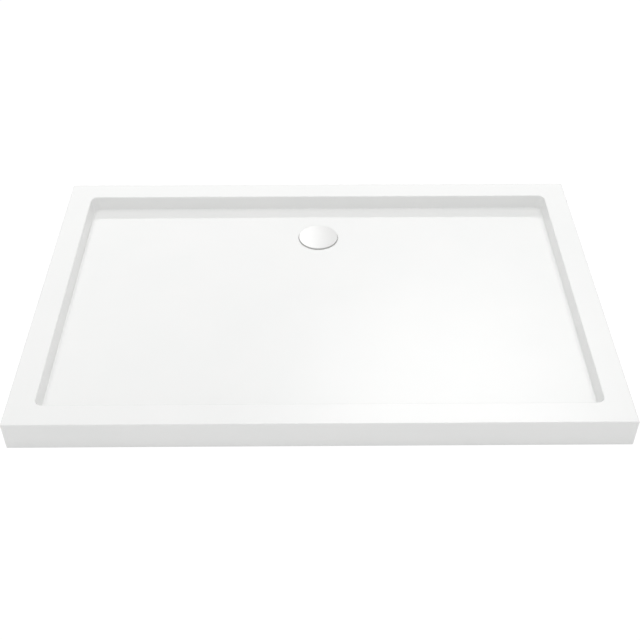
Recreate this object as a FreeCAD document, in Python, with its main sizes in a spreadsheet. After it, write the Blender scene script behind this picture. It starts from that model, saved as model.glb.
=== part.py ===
import FreeCAD, Part
import math
import os

import Sketcher
from FreeCAD import Placement, Rotation, Vector

# A low rectangular shower tray: a white acrylic shell backed by fibreglass, stiffened by rim
# battens and a base board on a filler bed, drained by a waste under a lift-off cover, and
# levelled by six screw feet. Millimetres and degrees. The origin is at the centre of the
# footprint on the ground, +X along the long side, +Y to the back wall and +Z up.

DIMENSIONS = {
    # Outer form of the tray
    "tray_length": 1200,
    "tray_width": 800,
    "tray_height": 62,
    "rim_width": 53,
    "skirt_corner_radius": 2.5,
    "rim_edge_radius": 2,
    # Basin
    "opening_corner_radius": 15,
    "opening_edge_radius": 2.5,
    "floor_edge_radius": 3,
    "wall_draft": 10,
    "floor_tilt": 0.17,
    "fall_inset": 20,
    "drain_fall": 0.8,
    # Laminates
    "acrylic_thickness": 4,
    "glass_thickness": 3,
    "glue_line": 0.2,
    "glass_trim": 2,
    "least_corner_radius": 0.6,
    # Floor support
    "board_margin": 12,
    "board_thickness": 9,
    "board_corner_radius": 20,
    "bed_thickness": 3,
    "batten_height": 18,
    "batten_play": 2.3,
    "batten_joint_gap": 0.5,
    # Waste
    "drain_from_back": 175,
    "seat_radius": 46.2,
    "seat_depth": 3,
    "tail_radius": 29.5,
    "tail_hole_clearance": 1,
    "waste_bore_radius": 24,
    "ledge_width": 3,
    "ledge_depth": 4.5,
    "flange_clearance": 2,
    "flange_bevel": 0.8,
    "spigot_step": 1,
    "spigot_length": 5.5,
    "tail_ground_gap": 1.5,
    "upper_seal_thickness": 1,
    "lower_seal_thickness": 2,
    "washer_thickness": 1,
    "ring_width": 12,
    "ring_clearance": 0.2,
    "nut_height": 8,
    "nut_corner_radius": 41,
    "thread_clearance": 0.05,
    "waste_cutout_clearance": 6,
    # Strainer
    "strainer_thickness": 2,
    "strainer_clearance": 0.3,
    "strainer_slot_count": 12,
    "strainer_slot_width": 3.2,
    "strainer_slot_length": 13,
    "strainer_slot_centre": 16,
    "bush_wall": 3,
    "bush_drop": 4,
    # Cover
    "cover_radius": 45,
    "cover_gap": 0.8,
    "cover_edge_thickness": 2.2,
    "cover_edge_radius": 0.5,
    "cover_rise": 2.6,
    "cover_peg_radius": 2.5,
    "cover_peg_circle": 36,
    "cover_peg_count": 3,
    "cover_spigot_radius": 3,
    "cover_spigot_clearance": 0.08,
    "cover_spigot_end_gap": 2,
    # Levelling feet
    "foot_inset_length": 150,
    "foot_inset_width": 110,
    "centre_foot_from_drain": 160,
    "pad_radius": 22,
    "pad_height": 4.5,
    "pad_bevel": 1.5,
    "pad_floor": 0.7,
    "pad_roof": 1.2,
    "foot_clearance": 0.3,
    "stem_radius": 4.95,
    "stem_head_radius": 8,
    "stem_tip_bevel": 1,
    "stem_slot_width": 1.6,
    "stem_slot_depth": 1.5,
    "socket_flange_radius": 22,
    "socket_flange_thickness": 2.2,
    "socket_wall": 4,
    "socket_fit": 0.25,
    "thread_engagement": 8,
    "foot_travel": 7,
    "screw_count": 3,
    "screw_circle": 16,
    "screw_radius": 1.75,
    "screw_head_radius": 3.4,
    "screw_length": 9,
    "screw_clearance": 0.15,
}

# Sizes and levels worked out from the dimensions, each an expression of the sheet.
DERIVED = {
    "shell_thickness": "dims.acrylic_thickness + dims.glue_line + dims.glass_thickness",
    "bed_offset": "levels.shell_thickness + dims.glue_line",
    "drain_place": "dims.tray_width / 2 - dims.drain_from_back",
    # From the ground up to the waste's seat
    "pad_cavity_top": "dims.pad_height - dims.pad_roof",
    "socket_bottom": "dims.pad_height + dims.foot_clearance",
    "board_bottom": "levels.socket_bottom + dims.socket_flange_thickness",
    "board_top": "levels.board_bottom + dims.board_thickness",
    "laminate_bottom": "levels.board_top + dims.bed_thickness",
    "seat_level": "levels.laminate_bottom + levels.shell_thickness",
    "drain_level": "levels.seat_level + dims.seat_depth",
    "floor_back_level": "levels.drain_level + dims.drain_fall",
    "opening_length": "dims.tray_length - 2 * dims.rim_width",
    "opening_width": "dims.tray_width - 2 * dims.rim_width",
    "floor_level": "levels.floor_back_level + levels.opening_width / 2 * tan(dims.floor_tilt)",
    "wall_inset": "(dims.tray_height - levels.floor_level) * tan(dims.wall_draft)",
    "floor_length": "levels.opening_length - 2 * levels.wall_inset",
    "floor_width": "levels.opening_width - 2 * levels.wall_inset",
    "board_length": "levels.floor_length - 2 * dims.board_margin",
    "board_width": "levels.floor_width - 2 * dims.board_margin",
    # Battens
    "batten_inset": "levels.shell_thickness + dims.batten_play",
    "batten_width": "dims.rim_width - 2 * levels.batten_inset",
    "batten_bottom": "dims.tray_height - levels.bed_offset - dims.batten_height",
    # Waste, on its own axis
    "tail_hole_radius": "dims.tail_radius + dims.tail_hole_clearance",
    "flange_radius": "dims.seat_radius - dims.flange_clearance",
    "flange_bottom": "levels.seat_level + dims.upper_seal_thickness",
    "spigot_top": "dims.tail_ground_gap + dims.spigot_length",
    "ledge_radius": "dims.waste_bore_radius + dims.ledge_width",
    "ledge_level": "levels.drain_level - dims.ledge_depth",
    "ring_inner_radius": "dims.tail_radius + dims.ring_clearance",
    "ring_outer_radius": "levels.ring_inner_radius + dims.ring_width",
    "lower_seal_bottom": "levels.laminate_bottom - dims.lower_seal_thickness",
    "washer_bottom": "levels.lower_seal_bottom - dims.washer_thickness",
    "nut_bottom": "levels.washer_bottom - dims.nut_height",
    "cutout_radius": "levels.ring_outer_radius + dims.waste_cutout_clearance",
    "strainer_radius": "levels.ledge_radius - dims.strainer_clearance",
    "strainer_top": "levels.ledge_level + dims.strainer_thickness",
    "bush_bore_radius": "dims.cover_spigot_radius + dims.cover_spigot_clearance",
    "bush_radius": "levels.bush_bore_radius + dims.bush_wall",
    "bush_bottom": "levels.ledge_level - dims.bush_drop",
    "bush_top": "levels.drain_level + dims.cover_gap - dims.cover_spigot_end_gap / 2",
    "cover_bottom": "levels.drain_level + dims.cover_gap",
    "cover_crown": "levels.cover_bottom + dims.cover_edge_thickness + dims.cover_rise",
    "dome_radius": "(dims.cover_radius ^ 2 + dims.cover_rise ^ 2) / (2 * dims.cover_rise)",
    "cover_spigot_bottom": "levels.bush_bottom + dims.cover_spigot_end_gap",
    # Feet
    "foot_place_x": "dims.tray_length / 2 - dims.foot_inset_length",
    "foot_place_y": "dims.tray_width / 2 - dims.foot_inset_width",
    "centre_foot_place": "levels.drain_place - dims.centre_foot_from_drain",
    "pad_cavity_radius": "dims.stem_head_radius + dims.foot_clearance",
    "pad_neck_radius": "dims.stem_radius + dims.foot_clearance",
    "stem_head_bottom": "dims.pad_floor + dims.foot_clearance",
    "stem_head_top": "levels.pad_cavity_top - dims.foot_clearance",
    "stem_top": "levels.socket_bottom + dims.thread_engagement + dims.foot_travel",
    "socket_bore_radius": "dims.stem_radius + dims.thread_clearance",
    "sleeve_radius": "levels.socket_bore_radius + dims.socket_wall",
    "sleeve_hole_radius": "levels.sleeve_radius + dims.socket_fit",
    "stem_hole_radius": "dims.stem_radius + dims.foot_clearance",
    "screw_hole_radius": "dims.screw_radius + dims.screw_clearance",
    "screw_sink_radius": "dims.screw_head_radius + dims.screw_clearance",
    "screw_tip": "levels.socket_bottom + dims.screw_length",
}

# The six feet: a name and the expressions of its place across the tray.
FEET = {
    "front_left": ("-levels.foot_place_x", "-levels.foot_place_y"),
    "front_middle": ("0", "-levels.foot_place_y"),
    "front_right": ("levels.foot_place_x", "-levels.foot_place_y"),
    "back_left": ("-levels.foot_place_x", "levels.foot_place_y"),
    "back_right": ("levels.foot_place_x", "levels.foot_place_y"),
    "centre": ("0", "levels.centre_foot_place"),
}

DRAIN = ("0", "levels.drain_place")
TOLERANCE = 0.01
LEAST_FILLET = 0.2

doc = FreeCAD.newDocument("shower_tray")
sheet = doc.addObject("Spreadsheet::Sheet", "dims")
for row, (alias, number) in enumerate(DIMENSIONS.items(), start=1):
    sheet.set(f"A{row}", alias)
    sheet.set(f"B{row}", str(number))
    sheet.setAlias(f"B{row}", alias)
doc.recompute()

levels = doc.addObject("App::VarSet", "levels")
for name, expression in DERIVED.items():
    levels.addProperty("App::PropertyFloat", name)
    levels.setExpression(name, expression)
    doc.recompute()

subparts = []


def value(expression):
    """The number that an expression of the sheet gives."""
    found = levels.evalExpression(expression)
    return float(getattr(found, "Value", found))


def keep(item, label):
    """Names a finished sub-part and lists it for export."""
    item.Label = label
    subparts.append(item)
    return item


def place(item, across, back, up="0"):
    """Ties an object's position to three expressions."""
    for axis, expression in zip("xyz", (across, back, up)):
        item.setExpression(f"Placement.Base.{axis}", expression)


# Sketches and bodies


def new_body(name):
    return doc.addObject("PartDesign::Body", name)


def new_sketch(body, name, role, level="0"):
    """A sketch on one of the body's origin planes, raised to a level."""
    sketch = body.newObject("Sketcher::SketchObject", name)
    plane = next(item for item in body.Origin.OriginFeatures if item.Role == role)
    sketch.AttachmentSupport = [(plane, "")]
    sketch.MapMode = "FlatFace"
    sketch.setExpression("AttachmentOffset.Base.z", level)
    return sketch


def hold(sketch, kind, first, expression, *second):
    """Adds a sketch dimension whose size is an expression."""
    index = sketch.addConstraint(Sketcher.Constraint(kind, *first, *second, value(expression)))
    sketch.setExpression(f"Constraints[{index}]", expression)


def hold_point(sketch, line, end, across, up):
    """Fixes a sketch point at two distances from the origin; a zero puts it on the axis."""
    for kind, axis, expression in (("DistanceX", -2, across), ("DistanceY", -1, up)):
        if expression == "0":
            sketch.addConstraint(Sketcher.Constraint("PointOnObject", line, end, axis))
        else:
            hold(sketch, kind, (-1, 1), expression, line, end)


def polygon_sketch(sketch, corners):
    """A closed outline through corners given as pairs of expressions."""
    points = [Vector(value(across), value(up), 0) for across, up in corners]
    for index, point in enumerate(points):
        sketch.addGeometry(Part.LineSegment(point, points[(index + 1) % len(points)]))
    for index, (across, up) in enumerate(corners):
        following = (index + 1) % len(points)
        sketch.addConstraint(Sketcher.Constraint("Coincident", index, 2, following, 1))
        hold_point(sketch, index, 1, across, up)


def rounded_rectangle_sketch(sketch, length, width, radius):
    """A rectangle round the origin with four equal corner arcs."""
    half_x, half_y, bend = value(length) / 2, value(width) / 2, value(radius)
    signs = ((1, 1), (-1, 1), (-1, -1), (1, -1))
    centres = [Vector(sx * (half_x - bend), sy * (half_y - bend), 0) for sx, sy in signs]
    for index, centre in enumerate(centres):
        turn = index * math.pi / 2
        circle = Part.Circle(centre, Vector(0, 0, 1), bend)
        sketch.addGeometry(Part.ArcOfCircle(circle, turn, turn + math.pi / 2))
    for index in range(4):
        start = sketch.Geometry[index].EndPoint
        end = sketch.Geometry[(index + 1) % 4].StartPoint
        sketch.addGeometry(Part.LineSegment(start, end))
    for index in range(4):
        side, following = index + 4, (index + 1) % 4
        sketch.addConstraint(Sketcher.Constraint("Tangent", index, 2, side, 1))
        sketch.addConstraint(Sketcher.Constraint("Tangent", side, 2, following, 1))
        direction = "Vertical" if index % 2 else "Horizontal"
        sketch.addConstraint(Sketcher.Constraint(direction, side))
    for index in (1, 2, 3):
        sketch.addConstraint(Sketcher.Constraint("Equal", 0, index))
    sketch.addConstraint(Sketcher.Constraint("Symmetric", 0, 3, 2, 3, -1, 1))
    hold(sketch, "Radius", (0,), radius)
    hold(sketch, "DistanceX", (5, 1), length, 7, 1)
    hold(sketch, "DistanceY", (6, 1), width, 4, 1)


def add_pad(body, sketch, length):
    pad = body.newObject("PartDesign::Pad", sketch.Name + "_pad")
    pad.Profile = sketch
    pad.setExpression("Length", length)
    doc.recompute()
    return pad


def add_revolution(body, sketch):
    turned = body.newObject("PartDesign::Revolution", sketch.Name + "_turned")
    turned.Profile = sketch
    turned.ReferenceAxis = (sketch, ["V_Axis"])
    turned.Angle = 360
    doc.recompute()
    return turned


def add_pocket(body, sketch):
    """Cuts a sketch right through the body, both ways."""
    before = body.Shape.Volume
    pocket = body.newObject("PartDesign::Pocket", sketch.Name + "_pocket")
    pocket.Profile = sketch
    pocket.Type = "ThroughAll"
    pocket.Midplane = True
    doc.recompute()
    if body.Shape.Volume > before - TOLERANCE:
        raise RuntimeError(f"{pocket.Name} cuts nothing")
    return pocket


def add_polar_pattern(body, feature, count):
    pattern = body.newObject("PartDesign::PolarPattern", feature.Name + "_pattern")
    pattern.Originals = [feature]
    z_axis = next(item for item in body.Origin.OriginFeatures if item.Role == "Z_Axis")
    pattern.Axis = (z_axis, [""])
    pattern.Angle = 360
    pattern.setExpression("Occurrences", count)
    body.Tip = pattern
    doc.recompute()
    return pattern


def add_fillet(body, base, edges, radius):
    """Rounds the edges of a feature that a test picks."""
    names = [f"Edge{i}" for i, edge in enumerate(base.Shape.Edges, start=1) if edges(edge)]
    fillet = body.newObject("PartDesign::Fillet", base.Name + "_round")
    fillet.Base = (base, names)
    fillet.setExpression("Radius", radius)
    doc.recompute()
    return fillet


def turned_body(name, profile):
    """A body of revolution about Z through corners given as (radius, level) expressions."""
    body = new_body(name)
    sketch = new_sketch(body, name + "_profile", "XZ_Plane")
    polygon_sketch(sketch, profile)
    add_revolution(body, sketch)
    return body


def ring(name, inner, outer, bottom, top):
    """A plain ring round the drain's axis."""
    body = turned_body(name, [(inner, bottom), (outer, bottom), (outer, top), (inner, top)])
    place(body, *DRAIN)
    return keep(body, name)


# Part primitives


def cylinder(name, radius, bottom, top, across="0", back="0"):
    item = doc.addObject("Part::Cylinder", name)
    item.setExpression("Radius", radius)
    item.setExpression("Height", f"({top}) - ({bottom})")
    place(item, across, back, bottom)
    return item


def cut(name, base, tool):
    item = doc.addObject("Part::Cut", name)
    item.Base = base
    item.Tool = tool
    doc.recompute()
    if item.Shape.Volume > base.Shape.Volume - TOLERANCE:
        raise RuntimeError(f"{name} takes nothing away")
    return item


def joined(name, shapes):
    item = doc.addObject("Part::MultiFuse", name)
    item.Shapes = shapes
    doc.recompute()
    return item


# Tray form: the outside of the tray as if it were solid. Each laminate lies between two such
# forms, the inner one set in by an offset from the visible surface.


def fall_corners():
    """Half the size of the sloping floor's outline and its corner radius."""
    half_x = levels.floor_length / 2 - sheet.fall_inset
    half_y = levels.floor_width / 2 - sheet.fall_inset
    return half_x, half_y, sheet.opening_corner_radius


def fall_outline(offset):
    """The sloping floor's outer wire, in the tilted plane at the foot of the walls."""
    half_x, half_y, bend = fall_corners()
    edges = []
    turns = ((1, 1, 0), (-1, 1, 90), (-1, -1, 180), (1, -1, 270))
    arcs = []
    for sign_x, sign_y, turn in turns:
        centre = Vector(sign_x * (half_x - bend), sign_y * (half_y - bend), 0)
        arcs.append(Part.makeCircle(bend, centre, Vector(0, 0, 1), turn, turn + 90))
    for index, arc in enumerate(arcs):
        following = arcs[(index + 1) % 4]
        edges.append(arc)
        edges.append(Part.makeLine(arc.lastVertex().Point, following.firstVertex().Point))
    wire = Part.Wire(edges)
    tilt = Rotation(Vector(1, 0, 0), -sheet.floor_tilt)
    wire.Placement = Placement(Vector(0, 0, levels.floor_level - offset), tilt)
    return wire


def fall_rim(offset, outline):
    """The circle at the foot of the fall, split where the outline's edges point to it."""
    radius = sheet.seat_radius + offset
    centre = Vector(0, levels.drain_place, levels.drain_level - offset)
    angles = []
    for edge in outline.Edges:
        start = edge.firstVertex().Point - centre
        angles.append(math.degrees(math.atan2(start.y, start.x)))
    edges = []
    for index, angle in enumerate(angles):
        end = angles[(index + 1) % len(angles)]
        edges.append(Part.makeCircle(radius, centre, Vector(0, 0, 1), angle, end))
    return Part.Wire(edges)


def floor_fall(name, offset):
    """The shallow space that the floor's fall takes out of the tray, with the waste's seat."""
    inset = value(offset)
    outline = fall_outline(inset)
    rim = fall_rim(inset, outline)
    funnel = Part.makeLoft([outline, rim], True, True)
    seat_height = sheet.seat_depth
    centre = Vector(0, levels.drain_place, levels.seat_level - inset)
    seat = Part.makeCylinder(sheet.seat_radius + inset, seat_height, centre)
    item = doc.addObject("Part::Feature", name)
    item.Shape = funnel.fuse(seat)
    return item


def tray_form(name, offset, bottom):
    """The tray's solid form, set in by an offset and standing on a bottom level."""
    body = new_body(name + "_block")
    top = f"dims.tray_height - ({offset})"
    outline = new_sketch(body, name + "_outline", "XY_Plane", bottom)
    rounded_rectangle_sketch(
        outline,
        f"dims.tray_length - 2 * ({offset})",
        f"dims.tray_width - 2 * ({offset})",
        f"max(dims.skirt_corner_radius - ({offset}); dims.least_corner_radius)",
    )
    feature = add_pad(body, outline, f"{top} - ({bottom})")
    top_level = value(top)
    outer_radius = f"dims.rim_edge_radius - ({offset})"
    if value(outer_radius) > LEAST_FILLET:
        on_top = lambda edge: edge.BoundBox.ZMin > top_level - TOLERANCE
        feature = add_fillet(body, feature, on_top, outer_radius)
    feature = add_basin(body, name, offset, top)
    fall = floor_fall(name + "_fall", offset)
    return cut(name, body, fall)


def floor_sketch(body, name, offset):
    """The outline at the foot of the walls, in the tilted plane of the floor."""
    floor = new_sketch(body, name, "XY_Plane", f"levels.floor_level - ({offset})")
    floor.AttachmentOffset = Placement(Vector(0, 0, 0), Rotation(Vector(1, 0, 0), -1))
    floor.setExpression("AttachmentOffset.Rotation.Angle", "-dims.floor_tilt")
    rounded_rectangle_sketch(
        floor,
        f"levels.floor_length + 2 * ({offset})",
        f"levels.floor_width + 2 * ({offset})",
        f"dims.opening_corner_radius + ({offset})",
    )
    return floor


def add_basin(body, name, offset, top):
    """Sinks the drafted basin, with a rounded foot to its walls and a soft upper edge."""
    opening = new_sketch(body, name + "_opening", "XY_Plane", top)
    rounded_rectangle_sketch(
        opening,
        f"levels.opening_length + 2 * ({offset})",
        f"levels.opening_width + 2 * ({offset})",
        f"dims.opening_corner_radius + ({offset})",
    )
    floor = floor_sketch(body, name + "_floor", offset)
    basin = body.newObject("PartDesign::SubtractiveLoft", name + "_basin")
    basin.Profile = opening
    basin.Sections = [floor]
    basin.Ruled = True
    doc.recompute()
    drop = math.tan(math.radians(sheet.floor_tilt))
    foot_level = levels.floor_level - value(offset)

    def at_wall_foot(edge):
        """Whether the edge lies in the tilted plane of the floor."""
        ends = [vertex.Point for vertex in edge.Vertexes]
        inside = all(abs(end.x) < levels.opening_length / 2 + 2 * value(offset) for end in ends)
        return inside and all(abs(end.z - foot_level + end.y * drop) < TOLERANCE for end in ends)

    feature = add_fillet(body, basin, at_wall_foot, f"dims.floor_edge_radius + ({offset})")
    soft = f"dims.opening_edge_radius - ({offset})"
    if value(soft) > LEAST_FILLET:
        reach = levels.opening_length / 2 + TOLERANCE
        level = value(top)

        def at_opening(edge):
            """Whether the edge runs round the opening in the rim."""
            box = edge.BoundBox
            return box.ZMin > level - TOLERANCE and max(abs(box.XMin), abs(box.XMax)) < reach

        feature = add_fillet(body, feature, at_opening, soft)
    return feature


# Acrylic shell: the vacuum-formed glossy sheet that is all the photo shows of the tray itself.
# Fibreglass backing: the laid-up mat behind it, trimmed a little above the ground.


def laminates():
    hole = cylinder("waste_hole", "levels.tail_hole_radius", "0", "dims.tray_height", *DRAIN)
    visible = tray_form("visible_form", "0", "0")
    acrylic_back = tray_form("acrylic_back_form", "dims.acrylic_thickness", "0")
    glass_face = "dims.acrylic_thickness + dims.glue_line"
    glass_front = tray_form("glass_front_form", glass_face, "dims.glass_trim")
    glass_back = tray_form("glass_back_form", "levels.shell_thickness", "0")
    acrylic = cut("acrylic_blank", visible, acrylic_back)
    keep(cut("acrylic_shell_cut", acrylic, hole), "acrylic_shell")
    glass = cut("glass_blank", glass_front, glass_back)
    keep(cut("fibreglass_backing_cut", glass, hole), "fibreglass_backing")


# Floor bed and base board: a stiff filler levels the sloping laminate onto a flat board, both
# cut away round the waste and pierced for the feet.


def support_block(name, bottom, height):
    body = new_body(name)
    outline = new_sketch(body, name + "_outline", "XY_Plane", bottom)
    rounded_rectangle_sketch(
        outline, "levels.board_length", "levels.board_width", "dims.board_corner_radius"
    )
    add_pad(body, outline, height)
    return body


def floor_bed():
    """A block up to the visible floor, cut back to the underside of the laminates."""
    height = "levels.floor_level - levels.board_top"
    block = support_block("bed_block", "levels.board_top", height)
    above = new_body("bed_headroom")
    add_pad(above, floor_sketch(above, "bed_headroom_floor", "levels.bed_offset"), height)
    levelled = cut("bed_levelled", block, above)
    sloped = cut("bed_sloped", levelled, floor_fall("bed_fall", "levels.bed_offset"))
    top = "dims.tray_height"
    holes = [cylinder("bed_cutout", "levels.cutout_radius", "0", top, *DRAIN)]
    for foot, (across, back) in FEET.items():
        name = f"bed_hole_{foot}"
        holes.append(cylinder(name, "levels.stem_hole_radius", "0", top, across, back))
    keep(cut("floor_bed_cut", sloped, joined("bed_holes", holes)), "floor_bed")


def screw_places():
    """Expressions of each socket screw's place, about the middle of its socket."""
    places = []
    for number in range(int(sheet.screw_count)):
        turn = f"(90 + {number} * 360 / dims.screw_count)"
        places.append((f"dims.screw_circle * cos({turn})", f"dims.screw_circle * sin({turn})"))
    return places


def base_board():
    block = support_block("board_block", "levels.board_bottom", "dims.board_thickness")
    top = "levels.board_top"
    holes = [cylinder("board_cutout", "levels.cutout_radius", "0", top, *DRAIN)]
    for foot, (across, back) in FEET.items():
        name = f"board_hole_{foot}"
        holes.append(cylinder(name, "levels.sleeve_hole_radius", "0", top, across, back))
        for number, (aside, ahead) in enumerate(screw_places()):
            name = f"board_pilot_{foot}_{number}"
            spot = (f"{across} + {aside}", f"{back} + {ahead}")
            holes.append(cylinder(name, "levels.screw_hole_radius", "0", top, *spot))
    keep(cut("base_board_cut", block, joined("board_holes", holes)), "base_board")


# Rim battens: four timber strips bonded under the rim, the long pair between the skirts and
# the short pair between the long ones.


def rim_batten(name, length, width, across, back):
    item = doc.addObject("Part::Box", name)
    item.setExpression("Length", length)
    item.setExpression("Width", width)
    item.setExpression("Height", "dims.batten_height")
    place(item, f"{across} - ({length}) / 2", f"{back} - ({width}) / 2", "levels.batten_bottom")
    keep(item, name)


def rim_battens():
    long_length = "dims.tray_length - 2 * levels.batten_inset"
    taken = "levels.batten_inset + levels.batten_width + dims.batten_joint_gap"
    short_length = f"dims.tray_width - 2 * ({taken})"
    set_in = "levels.batten_inset + levels.batten_width / 2"
    back = f"dims.tray_width / 2 - ({set_in})"
    side = f"dims.tray_length / 2 - ({set_in})"
    rim_batten("rim_batten_front", long_length, "levels.batten_width", "0", f"-({back})")
    rim_batten("rim_batten_back", long_length, "levels.batten_width", "0", back)
    rim_batten("rim_batten_left", "levels.batten_width", short_length, f"-({side})", "0")
    rim_batten("rim_batten_right", "levels.batten_width", short_length, side, "0")


# Waste: a flanged body clamped to the tray between two seals by a back nut. Its plain spigot
# at the foot is where the trap below the tray is joined.


def waste_flange():
    bevel_level = "levels.drain_level - dims.flange_bevel"
    spigot_radius = "dims.tail_radius - dims.spigot_step"
    profile = [
        ("dims.waste_bore_radius", "dims.tail_ground_gap"),
        (spigot_radius, "dims.tail_ground_gap"),
        (spigot_radius, "levels.spigot_top"),
        ("dims.tail_radius", "levels.spigot_top"),
        ("dims.tail_radius", "levels.flange_bottom"),
        ("levels.flange_radius", "levels.flange_bottom"),
        ("levels.flange_radius", bevel_level),
        ("levels.flange_radius - dims.flange_bevel", "levels.drain_level"),
        ("levels.ledge_radius", "levels.drain_level"),
        ("levels.ledge_radius", "levels.ledge_level"),
        ("dims.waste_bore_radius", "levels.ledge_level"),
    ]
    body = turned_body("waste_flange", profile)
    place(body, *DRAIN)
    keep(body, "waste_flange")


def back_nut():
    """An eight-sided nut on the tail, with a plain bore in place of its thread."""
    outside = doc.addObject("Part::Prism", "nut_outside")
    outside.Polygon = 8
    outside.setExpression("Circumradius", "dims.nut_corner_radius")
    outside.setExpression("Height", "dims.nut_height")
    place(outside, *DRAIN, "levels.nut_bottom")
    bore = "dims.tail_radius + dims.thread_clearance"
    inside = cylinder("nut_bore", bore, "levels.nut_bottom", "levels.washer_bottom", *DRAIN)
    keep(cut("back_nut_cut", outside, inside), "back_nut")


def waste():
    waste_flange()
    inner, outer = "levels.ring_inner_radius", "levels.ring_outer_radius"
    ring("upper_seal", inner, outer, "levels.seat_level", "levels.flange_bottom")
    ring("lower_seal", inner, outer, "levels.lower_seal_bottom", "levels.laminate_bottom")
    ring("slip_washer", inner, outer, "levels.washer_bottom", "levels.lower_seal_bottom")
    back_nut()


# Strainer: a slotted plate that drops onto the ledge in the waste, with a bush in its middle
# for the cover.


def strainer():
    profile = [
        ("levels.bush_bore_radius", "levels.bush_bottom"),
        ("levels.bush_radius", "levels.bush_bottom"),
        ("levels.bush_radius", "levels.ledge_level"),
        ("levels.strainer_radius", "levels.ledge_level"),
        ("levels.strainer_radius", "levels.strainer_top"),
        ("levels.bush_radius", "levels.strainer_top"),
        ("levels.bush_radius", "levels.bush_top"),
        ("levels.bush_bore_radius", "levels.bush_top"),
    ]
    body = turned_body("strainer", profile)
    slot = new_sketch(body, "strainer_slot", "XY_Plane", "levels.ledge_level")
    inner = "dims.strainer_slot_centre - dims.strainer_slot_length / 2"
    outer = "dims.strainer_slot_centre + dims.strainer_slot_length / 2"
    half = "dims.strainer_slot_width / 2"
    corners = [(inner, f"-{half}"), (outer, f"-{half}"), (outer, half), (inner, half)]
    polygon_sketch(slot, corners)
    pocket = add_pocket(body, slot)
    add_polar_pattern(body, pocket, "dims.strainer_slot_count")
    place(body, *DRAIN)
    keep(body, "strainer")


# Drain cover: a thin domed disc that stands on three pegs on the flange, so that water runs in
# under its edge. A spigot below it keeps it central in the strainer.


def drain_cover():
    rim = cylinder("cover_disc", "dims.cover_radius", "levels.cover_bottom", "levels.cover_crown")
    dome = doc.addObject("Part::Sphere", "cover_dome")
    dome.setExpression("Radius", "levels.dome_radius")
    place(dome, "0", "0", "levels.cover_crown - levels.dome_radius")
    disc = doc.addObject("Part::Common", "cover_cap")
    disc.Base = rim
    disc.Tool = dome
    doc.recompute()
    edge_level = levels.cover_bottom + sheet.cover_edge_thickness
    rounded = doc.addObject("Part::Fillet", "cover_rounded")
    rounded.Base = disc
    edges = []
    for number, edge in enumerate(disc.Shape.Edges, start=1):
        if abs(edge.BoundBox.ZMin - edge_level) < TOLERANCE and edge.Closed:
            edges.append((number, sheet.cover_edge_radius, sheet.cover_edge_radius))
    rounded.Edges = edges
    doc.recompute()
    radius, below = "dims.cover_spigot_radius", "levels.cover_bottom + dims.cover_edge_thickness / 2"
    pieces = [rounded, cylinder("cover_spigot", radius, "levels.cover_spigot_bottom", below)]
    for number in range(int(sheet.cover_peg_count)):
        turn = f"(90 + {number} * 360 / dims.cover_peg_count)"
        spot = (f"dims.cover_peg_circle * cos({turn})", f"dims.cover_peg_circle * sin({turn})")
        name, radius = f"cover_peg_{number}", "dims.cover_peg_radius"
        pieces.append(cylinder(name, radius, "levels.drain_level", below, *spot))
    cover = joined("drain_cover_joined", pieces)
    place(cover, *DRAIN)
    keep(cover, "drain_cover")


# Levelling feet: a threaded socket screwed to the board, a steel stem in it, and a pad that
# swivels on the stem's head. At rest they are screwed right in and the pads meet the ground.


def foot_pad(foot, across, back):
    shoulder = "dims.pad_radius - dims.pad_bevel"
    profile = [
        ("0", "0"),
        ("dims.pad_radius", "0"),
        ("dims.pad_radius", "dims.pad_height - dims.pad_bevel"),
        (shoulder, "dims.pad_height"),
        ("levels.pad_neck_radius", "dims.pad_height"),
        ("levels.pad_neck_radius", "levels.pad_cavity_top"),
        ("levels.pad_cavity_radius", "levels.pad_cavity_top"),
        ("levels.pad_cavity_radius", "dims.pad_floor"),
        ("0", "dims.pad_floor"),
    ]
    body = turned_body(f"foot_pad_{foot}", profile)
    place(body, across, back)
    keep(body, f"foot_pad_{foot}")


def foot_stem(foot, across, back):
    tip = "dims.stem_radius - dims.stem_tip_bevel"
    profile = [
        ("0", "levels.stem_head_bottom"),
        ("dims.stem_head_radius", "levels.stem_head_bottom"),
        ("dims.stem_head_radius", "levels.stem_head_top"),
        ("dims.stem_radius", "levels.stem_head_top"),
        ("dims.stem_radius", "levels.stem_top - dims.stem_tip_bevel"),
        (tip, "levels.stem_top"),
        ("0", "levels.stem_top"),
    ]
    body = turned_body(f"stem_blank_{foot}", profile)
    slot = doc.addObject("Part::Box", f"stem_slot_{foot}")
    slot.setExpression("Length", "dims.stem_radius * 2")
    slot.setExpression("Width", "dims.stem_slot_width")
    slot.setExpression("Height", "dims.stem_slot_depth")
    level = "levels.stem_top - dims.stem_slot_depth"
    place(slot, "-dims.stem_radius", "-dims.stem_slot_width / 2", level)
    stem = cut(f"stem_slotted_{foot}", body, slot)
    place(stem, across, back)
    keep(stem, f"foot_stem_{foot}")


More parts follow.
